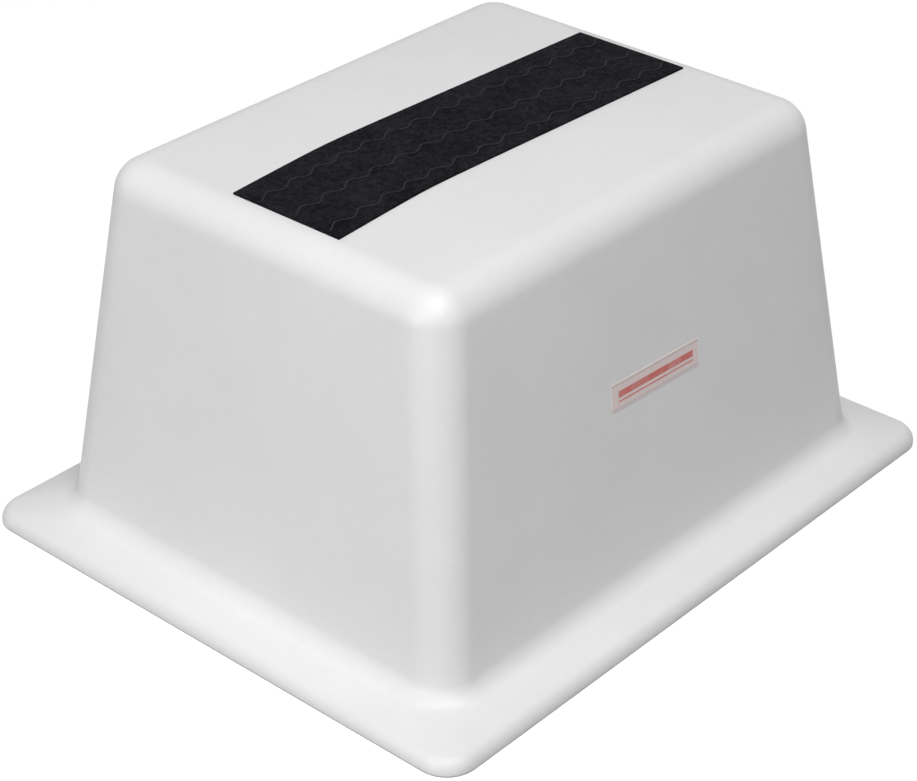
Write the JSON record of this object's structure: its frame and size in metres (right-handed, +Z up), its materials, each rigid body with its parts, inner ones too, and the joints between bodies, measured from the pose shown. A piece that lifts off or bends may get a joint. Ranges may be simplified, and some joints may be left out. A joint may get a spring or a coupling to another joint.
{
  "type": "dock step",
  "caption": "Free-standing dock step: a hollow drafted moulding with rolled edges and a flange round its foot, a black non-slip strip with wavy ribs on top and a blank label on one wall.",
  "frame": {"origin": "on the floor, under the middle of the step", "axes": "+Z up; X along the long side of the step; the long wall with the label faces -Y"},
  "size_m": [0.5772, 0.4792, 0.3072],
  "materials": {
    "white_moulding": "satin white, slightly uneven as moulded",
    "tread_rubber": "matte black with a leathery grain",
    "label_film": "satin film"
  },
  "bodies": {
    "root": {"step_shell": "white_moulding", "tread_strip": "tread_rubber", "front_label": "label_film"}
  },
  "joints": []
}
